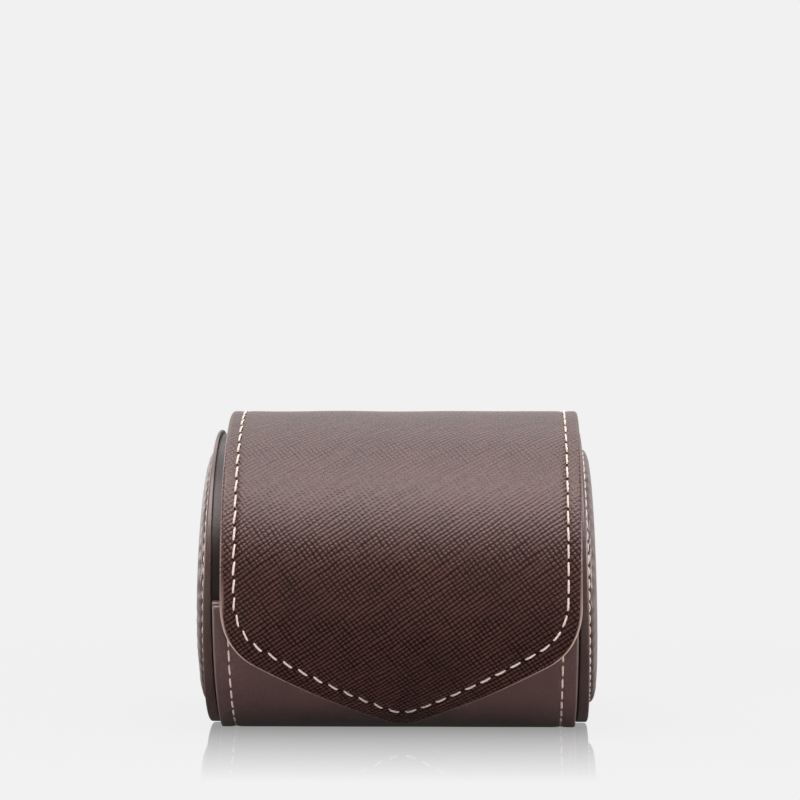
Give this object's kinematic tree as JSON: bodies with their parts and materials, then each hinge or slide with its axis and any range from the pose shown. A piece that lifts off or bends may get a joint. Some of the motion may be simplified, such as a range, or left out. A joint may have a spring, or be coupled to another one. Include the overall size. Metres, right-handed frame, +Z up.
{
  "type": "watch storage case",
  "caption": "Barrel-shaped leather case for one watch, with padded round ends, a wide stitched flap that opens on a leather hinge, and a round cushion inside.",
  "frame": {"origin": "on the table, under the middle of the barrel", "axes": "+X along the barrel to the right as seen from the front, +Y to the back, +Z up"},
  "size_m": [0.0986, 0.0828, 0.0783],
  "materials": {
    "flap_leather": "cross-hatched dark brown calf leather, satin",
    "body_leather": "cross-hatched dark brown calf leather, satin",
    "cap_leather": "cross-hatched dark brown leather over foam",
    "plug_leather": "dark brown leather over board",
    "board": "grey-brown bookbinder's board",
    "suede": "short taupe suede",
    "cushion_suede": "short taupe suede, tight over foam",
    "foam": "pale upholstery foam",
    "thread": "cream waxed sewing thread",
    "steel": "thin plated sheet steel",
    "magnet": "nickel-plated bar magnet, dark"
  },
  "bodies": {
    "case_body": {"wrap_leather": "body_leather", "body_former": "board", "body_lining": "suede", "front_lip_binding": "body_leather", "keeper_plate": "steel", "wrap_thread": "thread", "back_filler_board": "board", "back_panel_leather": "flap_leather", "back_panel_thread": "thread", "hinge_leather": "flap_leather", "hinge_lining": "suede", "left_end_plug": "plug_leather", "left_end_lining": "suede", "left_cap_board": "cap_leather", "left_cap_pad": "foam", "left_cap_leather": "cap_leather", "left_cap_thread": "thread", "right_end_plug": "plug_leather", "right_end_lining": "suede", "right_cap_board": "cap_leather", "right_cap_pad": "foam", "right_cap_leather": "cap_leather", "right_cap_thread": "thread"},
    "flap": {"flap_leather": "flap_leather", "flap_board": "board", "flap_lining": "suede", "flap_magnet": "magnet", "flap_thread": "thread"},
    "cushion": {"cushion_core": "foam", "cushion_sleeve": "cushion_suede", "left_cushion_end": "cushion_suede", "right_cushion_end": "cushion_suede"}
  },
  "joints": [
    {"name": "flap_hinge", "type": "hinge", "parent": "case_body", "child": "flap", "pos_m": [0, 0.0204, 0.07223], "axis": [-1, 0, 0], "range_deg": [0, 150], "deforming": ["hinge_leather", "hinge_lining"]},
    {"name": "cushion_roll", "type": "hinge", "parent": "case_body", "child": "cushion", "pos_m": [0, 0, 0.0293], "axis": [1, 0, 0], "continuous": true}
  ]
}
